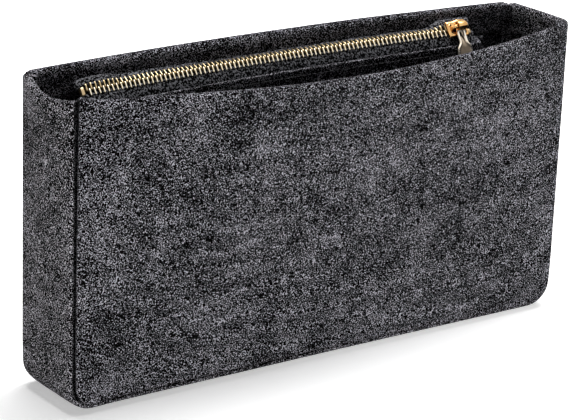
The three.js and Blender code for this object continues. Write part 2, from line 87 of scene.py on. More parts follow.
RIPPLE = 0.16  # and smaller ones on them
RIPPLE_LENGTH = 13
RIPPLE_START = 7.7
CALM_EDGE = 20  # the swells fade out over this distance to a panel's seams
WALLS_APART = 40  # keeps the two panels from swelling alike
SEAM_ROUND = 1.0
SEAM_GAP = 0.5  # half the width of the groove between the two edges
SEAM_SINK = 0.35  # the seam pulls the felt in by this
SEAM_FADE = 2.6  # over about this distance
SEAM_FELT = 1.8  # felt squeezed in the seam
SEAM_CLOSE = 0.36  # up the box's corners each edge is drawn closer by this
CLOSE_TO = 90  # from here to the rim the groove opens again
CLOSE_FADE = 40
GROOVE_STEPS = 3  # painted shade darkens the felt fully up to this point of its edge
GROOVE_FADE = 2
PAINTED_GROOVE_SHADE = 0.32  # painted shade: the felt's colour is scaled to this inside the groove
FIN = 6.5  # the turned-in edge, measured in from either face
FIN_MIDDLE = 5.4
FIN_ROOT = 4.1
FIN_PLAY = 0.2
INNER_FIN = (FIN, FIN_MIDDLE, 4.5, 3.9)
INNER_FOLD = ((5.1, 0.25), (5.3, 0.08))  # where the turn begins, and how far it stands off the inner face
OUTER_RUN = (4.6, 5.8, 7.4, 9.5, CORNER)  # distances of the points on the outer face
INNER_RUN = (5.6, 6, 6.5, 7.2, 8.1, 9.2, 10.5, CORNER)  # and on the inner face
RIM_ROUND = 2.05
RIM_LOWER = 0.6  # the cut corner of the hem lies this far under the rim
HEM_STEPS = 4  # the hem begins this many points from the cut edge
UNDER_HEM = 0.3
ROUND_POINTS = 6
HEM_RUN = (
    # distance back from the hem's face, distance below the rim
    (0, RIM_ROUND), (0, 4.5), (0, 8), (0, HEM - 2.5),
    (0, HEM - 1.1), (0.25, HEM - 0.35), (0.9, HEM), (1.6, HEM + 0.05),
)
RIM_POINTS = ROUND_POINTS + len(HEM_RUN)
BASE_ROLL = 2.2  # the base felt rolls up by this to its seam with a panel
ROLL_WIDTH = 7
ROLL_FROM = 3
ROLL_TOP = 26
ROLL_FADE = 150  # the roll thins out over this length to the right end
LONG_COLUMNS = 60
UPPER_ROWS = 31
FUZZ = 0.04


def lerp(start, end, share):
    return start + (end - start) * share


def smooth(share):
    share = min(max(share, 0), 1)
    return share * share * (3 - 2 * share)


def spaced(start, end, count):
    return [lerp(start, end, i / (count - 1)) for i in range(count)]


def bulge(x):
    return 1 - (x / HALF_LENGTH) ** 2


def rise(z):
    return (max(z, 0) / HEIGHT) ** BOW_POWER


def uneven(x, y, z):
    """How far the felt swells out of its plane, about half a millimetre."""
    wide = noise.noise(Vector((x / SWELL_LENGTH, y / SWELL_DEPTH + SWELL_START, z / SWELL_LENGTH)))
    small = noise.noise(Vector((x / RIPPLE_LENGTH, y / RIPPLE_LENGTH, z / RIPPLE_LENGTH + RIPPLE_START)))
    return SWELL * wide + RIPPLE * small


def wall_face(side, x, z):
    bow = FRONT_BOW if side < 0 else BACK_BOW
    return HALF_DEPTH + bow * bulge(x) * rise(z)


def end_swell(x, y, z):
    """How far along x an end of the box stands out past its corners; the right end is nearly flat."""
    bow = LEFT_BOW if x < 0 else RIGHT_BOW
    return math.copysign(bow, x) * (1 - (y / HALF_DEPTH) ** 2) ** 2 * rise(z)


def base_roll(x, z, from_face):
    """How far the felt is drawn up along the bottom seams, by the distance in from the panel's face."""
    across = max(1 - max(from_face, 0) / ROLL_WIDTH, 0) ** 2
    up = 1 - smooth((z - ROLL_FROM) / (ROLL_TOP - ROLL_FROM))
    along = smooth((HALF_LENGTH + x) / (2 * CORNER)) * smooth((HALF_LENGTH - x) / ROLL_FADE)
    return BASE_ROLL * across * up * along


def seam_close(z):
    """How far a felt edge is drawn to its seam up a corner of the box, where it is sewn tightest."""
    return SEAM_CLOSE * smooth((z - CORNER) / CORNER) * (1 - smooth((z - CLOSE_TO) / CLOSE_FADE))


def wall_top(side, x):
    if side > 0:
        return HEIGHT
    slack = math.exp(-((x + SLACK_AT) / SLACK_SPREAD) ** 2)
    return HEIGHT - FRONT_DIP * bulge(x) - RIM_SLACK * slack


def sunk(distance):
    """How far a seam at this distance pulls the felt in."""
    return SEAM_SINK * math.exp((flat_from - distance) / SEAM_FADE)


# A felt edge at a seam, from its cut edge to where the felt lies flat: pairs of
# (distance in from the face across the seam, depth under the felt's own face)
flat_from = SEAM_SINK + SEAM_ROUND * (1 + math.sqrt(2)) + 2 * SEAM_GAP
round_depth = SEAM_SINK + SEAM_ROUND
outer_edge = [(d - FIN_PLAY, d + FIN_PLAY) for d in (FIN, FIN_MIDDLE)] + [(FIN_ROOT, FIN_ROOT)]
for angle in spaced(math.radians(135), math.radians(270), 6):
    outer_edge.append((flat_from + SEAM_ROUND * math.cos(angle), round_depth + SEAM_ROUND * math.sin(angle)))
outer_edge += [(d, sunk(d)) for d in OUTER_RUN]
fin_back = SEAM_FELT / math.sqrt(2)
inner_edge = [(d + fin_back, d - fin_back) for d in INNER_FIN]
inner_edge += [(d, FELT + lift + sunk(d)) for d, lift in INNER_FOLD]
inner_edge += [(d, FELT + sunk(d)) for d in INNER_RUN]
EDGE = len(outer_edge) - 1


def hem_share(step):
    """How much of the folded hem there is at a point of the seam edge: none in the turned-in part."""
    return smooth((step - HEM_STEPS) / (EDGE - 2 * HEM_STEPS))


def painted_groove_shade(step):
    """Painted shade at a point of the seam edge: how far the felt's colour is darkened inside the groove."""
    return 1 - smooth((step - GROOVE_STEPS) / GROOVE_FADE)


def rim_path(top, i):
    """Depth under the outer face and height along the folded rim, from the outer face to the hem's edge."""
    if i < ROUND_POINTS:
        angle = math.pi * (1 - (i + 1) / (ROUND_POINTS + 1))
        return RIM_ROUND * (1 + math.cos(angle)), top - RIM_ROUND * (1 - math.sin(angle))
    back, below = HEM_RUN[i - ROUND_POINTS]
    return 2 * RIM_ROUND - back, top - below


def outer_top(top, share):
    return top - lerp(RIM_LOWER, RIM_ROUND, share)


def inner_top(top, share):
    return top - lerp(RIM_LOWER, HEM + UNDER_HEM, share)


def rim_points(outer, inner, share, top_at):
    """The folded rim between the upper ends of both faces: places along the wall, z and depths."""
    points = []
    for i in range(RIM_POINTS):
        along, z, depth = [lerp(a, b, (i + 1) / (RIM_POINTS + 1)) for a, b in zip(outer, inner)]
        rim_depth, rim_z = rim_path(top_at(along), i)
        points.append((along, lerp(z, rim_z, share), lerp(depth, rim_depth, share)))
    return points


def band_faces(base, size, count, closed=False):
    """Four-sided faces between loops of points that follow each other; the points are numbered from base."""
    faces = []
    for i in range(count if closed else count - 1):
        here, there = base + i * size, base + (i + 1) % count * size
        for j in range(size):
            k = (j + 1) % size
            faces.append((here + j, here + k, there + k, there + j))
    return faces


def in_scene(name, data):
    made = bpy.data.objects.new(name, data)
    bpy.context.scene.collection.objects.link(made)
    return made


def mesh_object(name, mesh_parts):
    """A piece from lists of points in millimetres and faces, which are turned outwards and shaded smooth."""
    points, faces = mesh_parts
    mesh = bpy.data.meshes.new(name)
    mesh.from_pydata([Vector(point) * MM for point in points], [], faces)
    shape = bmesh.new()
    shape.from_mesh(mesh)
    bmesh.ops.recalc_face_normals(shape, faces=shape.faces)
    shape.to_mesh(mesh)
    shape.free()
    mesh.shade_smooth()
    return in_scene(name, mesh)


def ring_solid(name, rings, painted_shade_rings=None):
    """A body from rings of points, one for each column, closed at both end columns."""
    size = len(rings[0])
    faces = band_faces(0, size, len(rings))
    for here in (0, (len(rings) - 1) * size):
        for i in range(size // 2 - 1):
            faces.append((here + i, here + i + 1, here + size - 2 - i, here + size - 1 - i))
    made = mesh_object(name, ([point for ring in rings for point in ring], faces))
    # painted shade for the grooves, kept on the points as the attribute seam
    if painted_shade_rings:
        shade_attribute = made.data.attributes.new("seam", "FLOAT", "POINT")
        shade_attribute.data.foreach_set("value", [shade for ring in painted_shade_rings for shade in ring])
    return made


def softened(made):
    """The felt's mesh, rounded once more."""
    rounding = made.modifiers.new("rounding", "SUBSURF")
    rounding.levels = rounding.render_levels = 1
    return made


def felt_panel(name, side):
    inside_xs = spaced(CORNER - HALF_LENGTH, HALF_LENGTH - CORNER, LONG_COLUMNS)[1:-1]
    columns = len(inside_xs) + 2 * (EDGE + 1)
    rows = EDGE + 1 + UPPER_ROWS

    def place(column, row, edge, top_of):
        """A point of one face, as x, z and the depth under the outer face; the lower corners are fans."""
        step = min(column, columns - 1 - column)
        end = -1 if column < columns / 2 else 1
        if step <= EDGE and row <= EDGE:
            ring = min(step, row)
            distance, depth = edge[ring]
            span = EDGE - ring
            turn = 0.5
            if span:
                turn = (EDGE - row) / span / 2 if step == ring else (1 + (step - ring) / span) / 2
            reach = CORNER - distance
            x = end * (HALF_LENGTH - CORNER + reach * math.cos(turn * math.pi / 2))
            return x, CORNER - reach * math.sin(turn * math.pi / 2), depth
        if step <= EDGE:
            distance, depth = edge[step]
            x = end * (HALF_LENGTH - distance)
        else:
            x, depth = inside_xs[column - EDGE - 1], edge[EDGE][1]
        if row <= EDGE:
            return x, *edge[row]
        top = top_of(wall_top(side, x), hem_share(step))
        return x, lerp(CORNER, top, (row - EDGE) / UPPER_ROWS), depth

    def in_space(x, z, depth):
        clear = smooth(min(HALF_LENGTH - abs(x), z) / CALM_EDGE)
        out = wall_face(side, x, z) + clear * uneven(x, side * WALLS_APART, z) - depth
        at_end = 1 - smooth((HALF_LENGTH - abs(x)) / CORNER)
        lifted = z + base_roll(x, z, depth)
        x += math.copysign(at_end * seam_close(z), x)
        return x + at_end * end_swell(x, HALF_DEPTH - depth, z), side * out, lifted

    rings, painted_shade_rings = [], []
    for column in range(columns):
        step = min(column, columns - 1 - column)
        outside = [place(column, row, outer_edge, outer_top) for row in range(rows)]
        inside = [place(column, row, inner_edge, inner_top) for row in range(rows)]
        rim = rim_points(outside[-1], inside[-1], hem_share(step), lambda x: wall_top(side, x))
        rings.append([in_space(*point) for point in outside + rim + inside[::-1]])
        # painted shade along the grooves of the seam edges
        painted_shade_rings.append([painted_groove_shade(min(step, row)) for row in range(rows)] + [0] * (RIM_POINTS + rows))
    return softened(ring_solid(name, rings, painted_shade_rings))


front_felt = felt_panel("front_felt", -1)
back_felt = felt_panel("back_felt", 1)


def add_node(tree, kind, inputs=None, **settings):
    """A shader node with its settings, and with its inputs linked or set."""
    made = tree.nodes.new(kind)
    for setting, value in settings.items():
        setattr(made, setting, value)
    for socket, value in (inputs or {}).items():
        if isinstance(value, bpy.types.NodeSocket):
            tree.links.new(value, made.inputs[socket])
        else:
            made.inputs[socket].default_value = value
    return made


def calculated(tree, operation, *values):
    return add_node(tree, "ShaderNodeMath", dict(enumerate(values)), operation=operation).outputs[0]


def sum_of(tree, parts):
    """The sum of sockets, each times its own weight."""
    total = None
    for socket, weight in parts:
        part = calculated(tree, "MULTIPLY", socket, weight)
        total = part if total is None else calculated(tree, "ADD", total, part)
    return total


def ranged(tree, value, low, high, to_low=0, to_high=1):
    """A value taken from one range to another and held inside it."""
    return add_node(tree, "ShaderNodeMapRange", {
        "Value": value, "From Min": low, "From Max": high, "To Min": to_low, "To Max": to_high,
    }).outputs["Result"]


def speckle(tree, place, scale, detail, **others):
    inputs = {"Vector": place, "Scale": scale, "Detail": detail, **others}
    return add_node(tree, "ShaderNodeTexNoise", inputs).outputs["Fac"]


def stretched(tree, place, scales):
    return add_node(tree, "ShaderNodeVectorMath", {0: place, 1: scales}, operation="MULTIPLY").outputs[0]


def colour_ramp(tree, factor, stops):
    """The colour at a factor between stops of a position and a colour."""
    made = add_node(tree, "ShaderNodeValToRGB", {"Fac": factor})
    ramp = made.color_ramp.elements
    while len(ramp) < len(stops):
        ramp.new(0.5)
    for element, (position, colour) in zip(ramp, stops):
        element.position = position
        element.color = (*colour, 1)
    return made.outputs["Color"]


def bumped(tree, height, strength, distance):
    inputs = {"Strength": strength, "Distance": distance, "Height": height}
    return add_node(tree, "ShaderNodeBump", inputs).outputs["Normal"]


def new_group(name, outputs):
    """A node group that takes a place and puts out values."""
    group = bpy.data.node_groups.new(name, "ShaderNodeTree")
    group.interface.new_socket("Place", in_out="INPUT", socket_type="NodeSocketVector")
    for output in outputs:
        group.interface.new_socket(output, in_out="OUTPUT", socket_type="NodeSocketFloat")
    return group, add_node(group, "NodeGroupInput").outputs["Place"]


def new_material(name):
    """An empty node material, its tree and the place on the piece."""
    made = bpy.data.materials.new(name)
    made.use_nodes = True
    made.node_tree.nodes.clear()
    return made, made.node_tree, add_node(made.node_tree, "ShaderNodeTexCoord").outputs["Object"]


def principled(tree, inputs):
    """The material's shader, joined to its output."""
    shader = add_node(tree, "ShaderNodeBsdfPrincipled", inputs)
    output = add_node(tree, "ShaderNodeOutputMaterial")
    tree.links.new(shader.outputs[0], output.inputs[0])


def felt_fibres():
    """Needle felt: short curled fibres of light and dark wool, loose tufts and faint rows of needle marks."""
    group, place = new_group("felt_fibres", ("Shade", "Height"))
    grain = speckle(group, place, 2150, 0)
    curls = speckle(group, place, 900, 1, Roughness=0.5, Distortion=1.6)
    away = calculated(group, "ABSOLUTE", calculated(group, "SUBTRACT", curls, 0.5))
    fibre = ranged(group, away, 0, 0.11, 1, 0)
    tufts = speckle(group, place, 150, 3, Roughness=0.6)
    clouds = speckle(group, place, 38, 2, Roughness=0.5)
    needled = speckle(group, stretched(group, place, (30, 30, 190)), 1, 1)
    mixed = sum_of(group, [(grain, 1.9), (fibre, 0.3), (tufts, 0.32), (clouds, 0.32), (needled, 0.22)])
    height = sum_of(group, [(grain, 0.6), (fibre, 0.4)])
    add_node(group, "NodeGroupOutput", {"Shade": ranged(group, mixed, 1.555, 1.865), "Height": height})
    return group


fibres = felt_fibres()


def felt_material(name, stops):
    made, tree, place = new_material(name)
    felt = add_node(tree, "ShaderNodeGroup", {"Place": place}, node_tree=fibres)
    wool = colour_ramp(tree, felt.outputs["Shade"], stops)
    # painted shade: the seam attribute darkens the wool's colour inside the grooves
    seam = add_node(tree, "ShaderNodeAttribute", attribute_name="seam").outputs["Fac"]
    shade = ranged(tree, seam, 0, 1, 1, PAINTED_GROOVE_SHADE)
    shaded = add_node(tree, "ShaderNodeVectorMath", {"Vector": wool, "Scale": shade}, operation="SCALE")
    principled(tree, {
        "Base Color": shaded.outputs["Vector"], "Roughness": 0.95, "Specular IOR Level": 0.0,
        "Sheen Weight": FUZZ, "Sheen Roughness": 0.45, "Sheen Tint": (0.75, 0.75, 0.8, 1),
        "Normal": bumped(tree, felt.outputs["Height"], 0.6, 0.0004),
    })
    return made


panel_wool = felt_material("panel_wool", [
    (0, (0.0004, 0.0004, 0.0004)), (0.45, (0.0094, 0.0092, 0.0107)), (1, (0.42, 0.413, 0.46)),
])

for panel, node in ((front_felt, "front_panel"), (back_felt, "back_panel")):
    panel.data.materials.append(panel_wool)
    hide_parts(node)
    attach(panel, "shell")


# End strip: one long piece of the same felt that makes the left end, the base and the right end.
# Its two long edges turn in along the panels, and both ends are folded inside like the panels' rims.
LEFT_DIP = 4
DIP_SCALE = 4.7  # brings the lowest place of the dip to about 1
DIP_BACK_POWER = 1.6
DIP_FRONT_POWER = 0.82
END_CALM_EDGE = 16
ENDS_APART = 50


def end_dip(y):
    """How low the left end's rim hangs, as a share of its lowest place, which is nearer the front."""
    share = (HALF_DEPTH - y) / (2 * HALF_DEPTH)
    share = min(max(share, 0), 1)
    return DIP_SCALE * share ** DIP_BACK_POWER * (1 - share) ** DIP_FRONT_POWER


def strip_path(heights, angles, base_xs=()):
    """Along the strip, from the left rim round the base to the right rim: x, z and the way into the box."""
    left = [(-HALF_LENGTH, z, 1, 0) for z in heights]
    for angle in angles:
        x = CORNER * (1 - math.cos(angle)) - HALF_LENGTH
        left.append((x, CORNER * (1 - math.sin(angle)), math.cos(angle), math.sin(angle)))
    right = [(-x, z, -in_x, in_z) for x, z, in_x, in_z in left[::-1]]
    return left + [(x, 0, 0, 1) for x in base_xs] + right


def end_strip(name):
    base_xs = spaced(CORNER - HALF_LENGTH, HALF_LENGTH - CORNER, LONG_COLUMNS)[1:-1]
    inside_ys = spaced(CORNER - HALF_DEPTH, HALF_DEPTH - CORNER, 9)[1:-1]
    columns = len(inside_ys) + 2 * (EDGE + 1)

    def stations(top):
        heights = spaced(top, CORNER, UPPER_ROWS + 1)[:-1]
        return strip_path(heights, spaced(0, math.pi / 2, 9), base_xs)

    def in_space(x, z, in_x, in_z, y, depth):
        clear = smooth((HALF_DEPTH - abs(y)) / END_CALM_EDGE) * abs(in_x)
        inwards = depth - clear * uneven(in_x * ENDS_APART, y, z)
        x += in_x * inwards
        z += in_z * inwards
        beside_panel = 1 - smooth((HALF_DEPTH - abs(y)) / CORNER)
        side = math.copysign(1, y)
        wall_bow = side * (wall_face(side, x, z) - HALF_DEPTH)
        swell = end_swell(-in_x, y, z) if in_x else 0
        dip = LEFT_DIP * end_dip(y) * rise(z) * max(in_x, 0)
        lifted = z + base_roll(x, z, HALF_DEPTH - abs(y)) - dip
        drawn = side * abs(in_x) * seam_close(z)
        return x + abs(in_x) * swell, y + beside_panel * (wall_bow + drawn), lifted

    rings, painted_shade_rings = [], []
    for column in range(columns):
        step = min(column, columns - 1 - column)
        side = -1 if column < columns / 2 else 1
        share = hem_share(step)
        if step <= EDGE:
            (out_y, out_depth), (in_y, in_depth) = outer_edge[step], inner_edge[step]
            out_y, in_y = side * (HALF_DEPTH - out_y), side * (HALF_DEPTH - in_y)
        else:
            out_y = in_y = inside_ys[column - EDGE - 1]
            out_depth, in_depth = outer_edge[EDGE][1], inner_edge[EDGE][1]
        out_top, in_top = outer_top(HEIGHT, share), inner_top(HEIGHT, share)
        outside = [in_space(*place, out_y, out_depth) for place in stations(out_top)]
        inside = [in_space(*place, in_y, in_depth) for place in stations(in_top)]
        rim = rim_points((out_y, out_top, out_depth), (in_y, in_top, in_depth), share, lambda y: HEIGHT)
        left_rim, right_rim = [
            [in_space(end * HALF_LENGTH, z, -end, 0, y, depth) for y, z, depth in rim] for end in (-1, 1)
        ]
        half = RIM_POINTS // 2
        rings.append(left_rim[:half][::-1] + outside + right_rim + inside[::-1] + left_rim[half:][::-1])
        unseen = len(rings[-1]) - half - len(outside)
        # painted shade along the groove of each turned edge
        painted_shade_rings.append([0] * half + [painted_groove_shade(step)] * len(outside) + [0] * unseen)
    return softened(ring_solid(name, rings, painted_shade_rings))


end_felt = end_strip("end_felt")
# painted light: the same felt as the panels, with its colour made lighter
end_felt.data.materials.append(felt_material("end_wool_painted_light", [
    (0, (0.0004, 0.0004, 0.0004)), (0.45, (0.0127, 0.0123, 0.0139)), (1, (0.55, 0.537, 0.583)),
]))
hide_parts("gusset_strip")
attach(end_felt, "shell")


# Pocket panel: felt that hangs from the front zip tape inside the back wall.
# It leans back to the base seam, and at both ends it turns back and is sewn flat to the wall.
CHAIN_Y = 14.5473
CHAIN_Z = 127.7  # at the parked slider
CHAIN_TILT = math.radians(52)
CHAIN_ANGLE = math.radians(0.5509)  # the chain falls towards the left
CHAIN_BOW = 4.5  # it follows the wall between the two ends of the slider's travel
SLIDER_X = 91.7
TRAVEL = 189.4
LEFT_DROP = 1.4
DROP_FROM = -98
FRONT_TILT = math.radians(58)  # the front row hangs steeply
REAR_TILT = math.radians(9)  # the rear row lies nearly level
LEFT_REAR_TILT = math.radians(28)
LEVEL_FROM = -20  # and lies steeper from here to the left end
STRAIGHT_FROM = 80  # both rows turn into the slider's plane near the two ends of its travel
STRAIGHT_RUN = 6.2
LEFT_STRAIGHT_FROM = -84
TAPE_START = -107
TAPE_END = 101
TAPE = 0.6
FRONT_BEND = 6.5
PLAY = 0.3  # pieces that touch keep this apart
POCKET_BOTTOM = 8.59
POCKET_BOTTOM_Y = 13.955
POCKET_TURN = 8
POCKET_FLANGE = 4
POCKET_SAG = 1.1
SAG_LENGTH = 50
SAG_HEIGHT = 70
SAG_START = 11.3
POCKET_ROWS = 30
FLANGE_EDGE = 1.5
POCKET_EDGE = 0.5  # height of the rounded upper edge
ROUNDED_EDGE = ((-0.5, 0), (-0.42, 0.3), (-0.2, 0.48), (0.2, 0.48), (0.42, 0.3), (0.5, 0))
SLOPE_AT = 60  # the height at which the turned ends' slope is taken
SLOPE_STEP = 0.05


def straight_chain(x, across, above):
    """A point beside the straight line that the slider runs along."""
    turned, raised = math.cos(CHAIN_TILT), math.sin(CHAIN_TILT)
    line = CHAIN_Z - (SLIDER_X - x) * math.tan(CHAIN_ANGLE)
    return x, CHAIN_Y + across * turned - above * raised, line + across * raised + above * turned


def chain_bow(x):
    half = TRAVEL / 2
    return CHAIN_BOW * max(1 - ((x - SLIDER_X + half) / half) ** 2, 0)


def chain_drop(x):
    return LEFT_DROP * (max(DROP_FROM - x, 0) / (DROP_FROM - TAPE_START)) ** 2


def row_tilt(x, side):
    """How far one row of the chain faces to the front: the closed chain makes a ridge between two slopes."""
    if side < 0:
        tilt = FRONT_TILT
    else:
        steeper = smooth((LEVEL_FROM - x) / (LEVEL_FROM - LEFT_STRAIGHT_FROM))
        tilt = lerp(REAR_TILT, LEFT_REAR_TILT, steeper)
    past = max(x - STRAIGHT_FROM, LEFT_STRAIGHT_FROM - x)
    return lerp(tilt, CHAIN_TILT, smooth(past / STRAIGHT_RUN))


def chain_place(x, across, above, side=None):
    """A point beside the sewn-in chain, which bows with the wall; side is the row it belongs to."""
    tilt = row_tilt(x, across if side is None else side)
    turned, raised = math.cos(tilt), math.sin(tilt)
    _, line_y, line_z = straight_chain(x, 0, 0)
    y = line_y + chain_bow(x) + across * turned - above * raised
    return x, y, line_z - chain_drop(x) + across * raised + above * turned


def pocket_top(x):
    """Where the pocket felt's upper edge lies in front of the tape."""
    bend = chain_place(x, -FRONT_BEND, 0)
    return bend[1] - TAPE / 2 - PLAY - FELT / 2, bend[2] - TAPE / 2


def stand_off(x):
    """1 where the pocket felt hangs free and 0 where it lies on the wall."""
    left = smooth((x - (TAPE_START - PLAY - POCKET_TURN)) / POCKET_TURN)
    return left * (1 - smooth((x - (TAPE_END + PLAY)) / POCKET_TURN))


def pocket_y(x, z):
    top_y, top = pocket_top(x)
    share = (z - POCKET_BOTTOM) / (top - POCKET_BOTTOM)
    loose = math.sin(math.pi * min(max(share, 0), 1))
    sag = POCKET_SAG * loose * noise.noise(Vector((x / SAG_LENGTH, SAG_START, z / SAG_HEIGHT)))
    hanging = lerp(POCKET_BOTTOM_Y, top_y, share) + sag
    on_wall = wall_face(1, x, z) - FELT - PLAY - FELT / 2
    return lerp(on_wall, hanging, stand_off(x))


def pocket_panel(name):
    start = TAPE_START - PLAY - POCKET_TURN - POCKET_FLANGE
    finish = TAPE_END + PLAY + POCKET_TURN + POCKET_FLANGE
    turn = spaced(0, POCKET_TURN, 10)[:-1]
    xs = [start, start + FLANGE_EDGE] + [start + POCKET_FLANGE + run for run in turn]
    xs += spaced(TAPE_START - PLAY, TAPE_END + PLAY, 54)
    xs += [finish - POCKET_FLANGE - run for run in turn[::-1]] + [finish - FLANGE_EDGE, finish]
    rings = []
    for x in xs:
        top = lerp(HEIGHT - HEM - PLAY, pocket_top(x)[1], stand_off(x)) - POCKET_EDGE
        heights = [lerp(POCKET_BOTTOM, top, i / POCKET_ROWS) for i in range(POCKET_ROWS)]
        ring = [(-0.5, z) for z in heights]
        ring += [(across, top + above) for across, above in ROUNDED_EDGE]
        ring += [(0.5, z) for z in reversed(heights)]
        rise_y = pocket_y(x + SLOPE_STEP, SLOPE_AT) - pocket_y(x - SLOPE_STEP, SLOPE_AT)
        slope = rise_y / (2 * SLOPE_STEP)
        lean = 1 / math.hypot(1, slope)
        rings.append([
            (x - across * FELT * slope * lean, pocket_y(x, z) + across * FELT * lean, z) for across, z in ring
        ])
    return softened(ring_solid(name, rings))


pocket_felt = pocket_panel("pocket_felt")
pocket_felt.data.materials.append(panel_wool)
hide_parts("zip_pocket_panel")
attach(pocket_felt, "shell")


# Zip tapes: two ribbons of dark woven polyester with a corded edge that the teeth are clamped to.
# The front tape is sewn behind the pocket felt, and the rear tape runs up to the back wall's hem.
TAPE_UNDER_TEETH = 1.6
TAPE_ROUND = 2.2
TAPE_WAVE = 0.12  # the sewn edge isn't quite straight
WAVE_LENGTH = 9
WAVE_SIDE = 5
WAVE_START = 2
FRONT_LAP = 8
REAR_BEND = 4.9
REAR_LAP = 6
CORD_AT = 2.25
CORD_ROUND = 0.7


def corner_arc(before, corner, after, radius, steps, most):
    """Points round a corner; the arc takes up at most this share of each side."""
    before, corner, after = Vector(before), Vector(corner), Vector(after)
    first = corner + (before - corner).normalized() * min(radius, (before - corner).length * most)
    last = corner + (after - corner).normalized() * min(radius, (after - corner).length * most)
    shares = spaced(0, 1, steps + 1)
    return [first.lerp(corner, share).lerp(corner.lerp(last, share), share) for share in shares]


def rounded_path(points, radius, steps=6):
    """A bent line with each inner corner rounded."""
    path = [Vector(points[0])]
    for before, corner, after in zip(points, points[1:], points[2:]):
        path += corner_arc(before, corner, after, radius, steps, 0.5)
    return path + [Vector(points[-1])]


def heading(path, i):
    """Which way a path runs at one of its points."""
    return path[min(i + 1, len(path) - 1)] - path[max(i - 1, 0)]


def zip_tape(name, bends_at, side):
    rings = []
    for x in spaced(TAPE_START, TAPE_END, 90):
        path = rounded_path(bends_at(x), TAPE_ROUND)
        waviness = TAPE_WAVE * noise.noise(Vector((x / WAVE_LENGTH, side * WAVE_SIDE, WAVE_START)))
        upper, lower = [], []
        for i, point in enumerate(path):
            along = heading(path, i)
            out = Vector((-along.y, along.x)).normalized() * (TAPE / 2)
            drift = waviness * i / len(path)
            upper.append((x, point.x + out.x, point.y + out.y + drift))
            lower.append((x, point.x - out.x, point.y - out.y + drift))
        rings.append(upper + lower[::-1])
    return ring_solid(name, rings)


def front_bends(x):
    bend = chain_place(x, -FRONT_BEND, 0)
    lap_z = bend[2] - FRONT_LAP
    lap_y = pocket_y(x, lap_z) + FELT / 2 + PLAY + TAPE / 2
    return [chain_place(x, -TAPE_UNDER_TEETH, 0)[1:], bend[1:], (lap_y, lap_z)]


def rear_bends(x):
    bend = chain_place(x, REAR_BEND, 0)
    lap_zs = (bend[2], bend[2] - REAR_LAP)
    laps = [(wall_face(1, x, z) - 2 * RIM_ROUND - PLAY - TAPE / 2, z) for z in lap_zs]
    return [chain_place(x, TAPE_UNDER_TEETH, 0)[1:], bend[1:], *laps]


def open_with_slider(piece):
    """Gives a piece of the front row a mesh of its own."""
    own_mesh(piece)


def weave_material(name, dark, light):
    """Twill tape: slanted ribs about a millimetre apart, crossed by finer threads."""
    made, tree, place = new_material(name)
    ribs = []
    for direction, turns in (((1, 0.6, 0.8), 4800), ((1, -0.6, -0.8), 9500)):
        along = add_node(tree, "ShaderNodeVectorMath", {0: place, 1: direction}, operation="DOT_PRODUCT")
        ribs.append(calculated(tree, "SINE", calculated(tree, "MULTIPLY", along.outputs["Value"], turns)))
    threads = ranged(tree, speckle(tree, place, 1300, 0), 0.36, 0.64)
    shade = sum_of(tree, [(ribs[0], 0.14), (ribs[1], 0.05), (threads, 1)])
    principled(tree, {
        "Base Color": colour_ramp(tree, shade, ((0.4, dark), (1, light))), "Roughness": 0.8,
        "Specular IOR Level": 0.03, "Normal": bumped(tree, shade, 0.5, 0.0002),
    })
    return made


def add_loft(mesh_parts, loops):
    """Adds a closed body through loops of points to lists of points and faces."""
    points, faces = mesh_parts
    base, size = len(points), len(loops[0])
    for loop in loops:
        points.extend(loop)
    faces.extend(band_faces(base, size, len(loops)))
    faces.append(tuple(base + j for j in reversed(range(size))))
    faces.append(tuple(base + (len(loops) - 1) * size + j for j in range(size)))


def add_tube(mesh_parts, path, radius_at, sides):
    """Adds a closed round bar along a path, with its radius at each share of the path."""
    path = [Vector(point) for point in path]
    angles = [2 * math.pi * j / sides for j in range(sides)]
    loops = []
    for i, point in enumerate(path):
        along = heading(path, i).normalized()
        across = along.orthogonal() if abs(along.x) > 0.99 else Vector((1, 0, 0)).cross(along)
        across.normalize()
        up = along.cross(across)
        radius = radius_at(i / (len(path) - 1))
        loops.append([point + radius * (math.cos(a) * across + math.sin(a) * up) for a in angles])
    add_loft(mesh_parts, loops)


tape_weave = weave_material("tape_weave", (0.001, 0.001, 0.0013), (0.16, 0.16, 0.175))
front_tape = zip_tape("front_tape", front_bends, -1)
rear_tape = zip_tape("rear_tape", rear_bends, 1)
for tape, node, side in ((front_tape, "zip_tape_front", -1), (rear_tape, "zip_tape_rear", 1)):
    tape.data.materials.append(tape_weave)
    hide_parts(node)
    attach(tape, "shell")
    cord_parts = ([], [])
    cord_path = [chain_place(x, side * CORD_AT, 0) for x in spaced(TAPE_START, TAPE_END, 120)]
    add_tube(cord_parts, cord_path, lambda share: CORD_ROUND, sides=10)
    cord = mesh_object(tape.name + "_cord", cord_parts)
    cord.data.materials.append(tape_weave)
    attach(cord, "shell")
    if side < 0:
        open_with_slider(tape)
        open_with_slider(cord)


# Zip teeth: gold-plated metal, each one a rounded bar clamped over the tape's corded edge.
# The heads of the two rows lie between each other along the middle of the chain. Both rows are the same
# metal: the front row, which faces the light, is paler as painted light, and the rear row deeper as painted
# shade.
PITCH = 2.25
FIRST_REAR_TOOTH = -102.375
LAST_TOOTH = 92.1
TOOTH_SECTIONS = (
    # across from the middle of the chain, half width along it, half height
    (2.95, 0.2, 0.6), (2.86, 0.29, 0.92), (2.55, 0.35, 1.1), (1.95, 0.36, 1.16), (1.5, 0.35, 1.16),
    (1.05, 0.33, 1.12), (0.5, 0.34, 1.08), (0, 0.36, 1.02), (-0.34, 0.33, 0.88), (-0.5, 0.18, 0.46),
)


def rounded_bar(half_width, half_height, corners=12, squareness=0.55):
    """Points round a bar's section, between an ellipse and a box."""
    section = []
    for i in range(corners):
        angle = 2 * math.pi * (i + 0.5) / corners
        c, s = math.cos(angle), math.sin(angle)
        section.append((
            half_width * math.copysign(abs(c) ** squareness, c),
            half_height * math.copysign(abs(s) ** squareness, s),
        ))
    return section


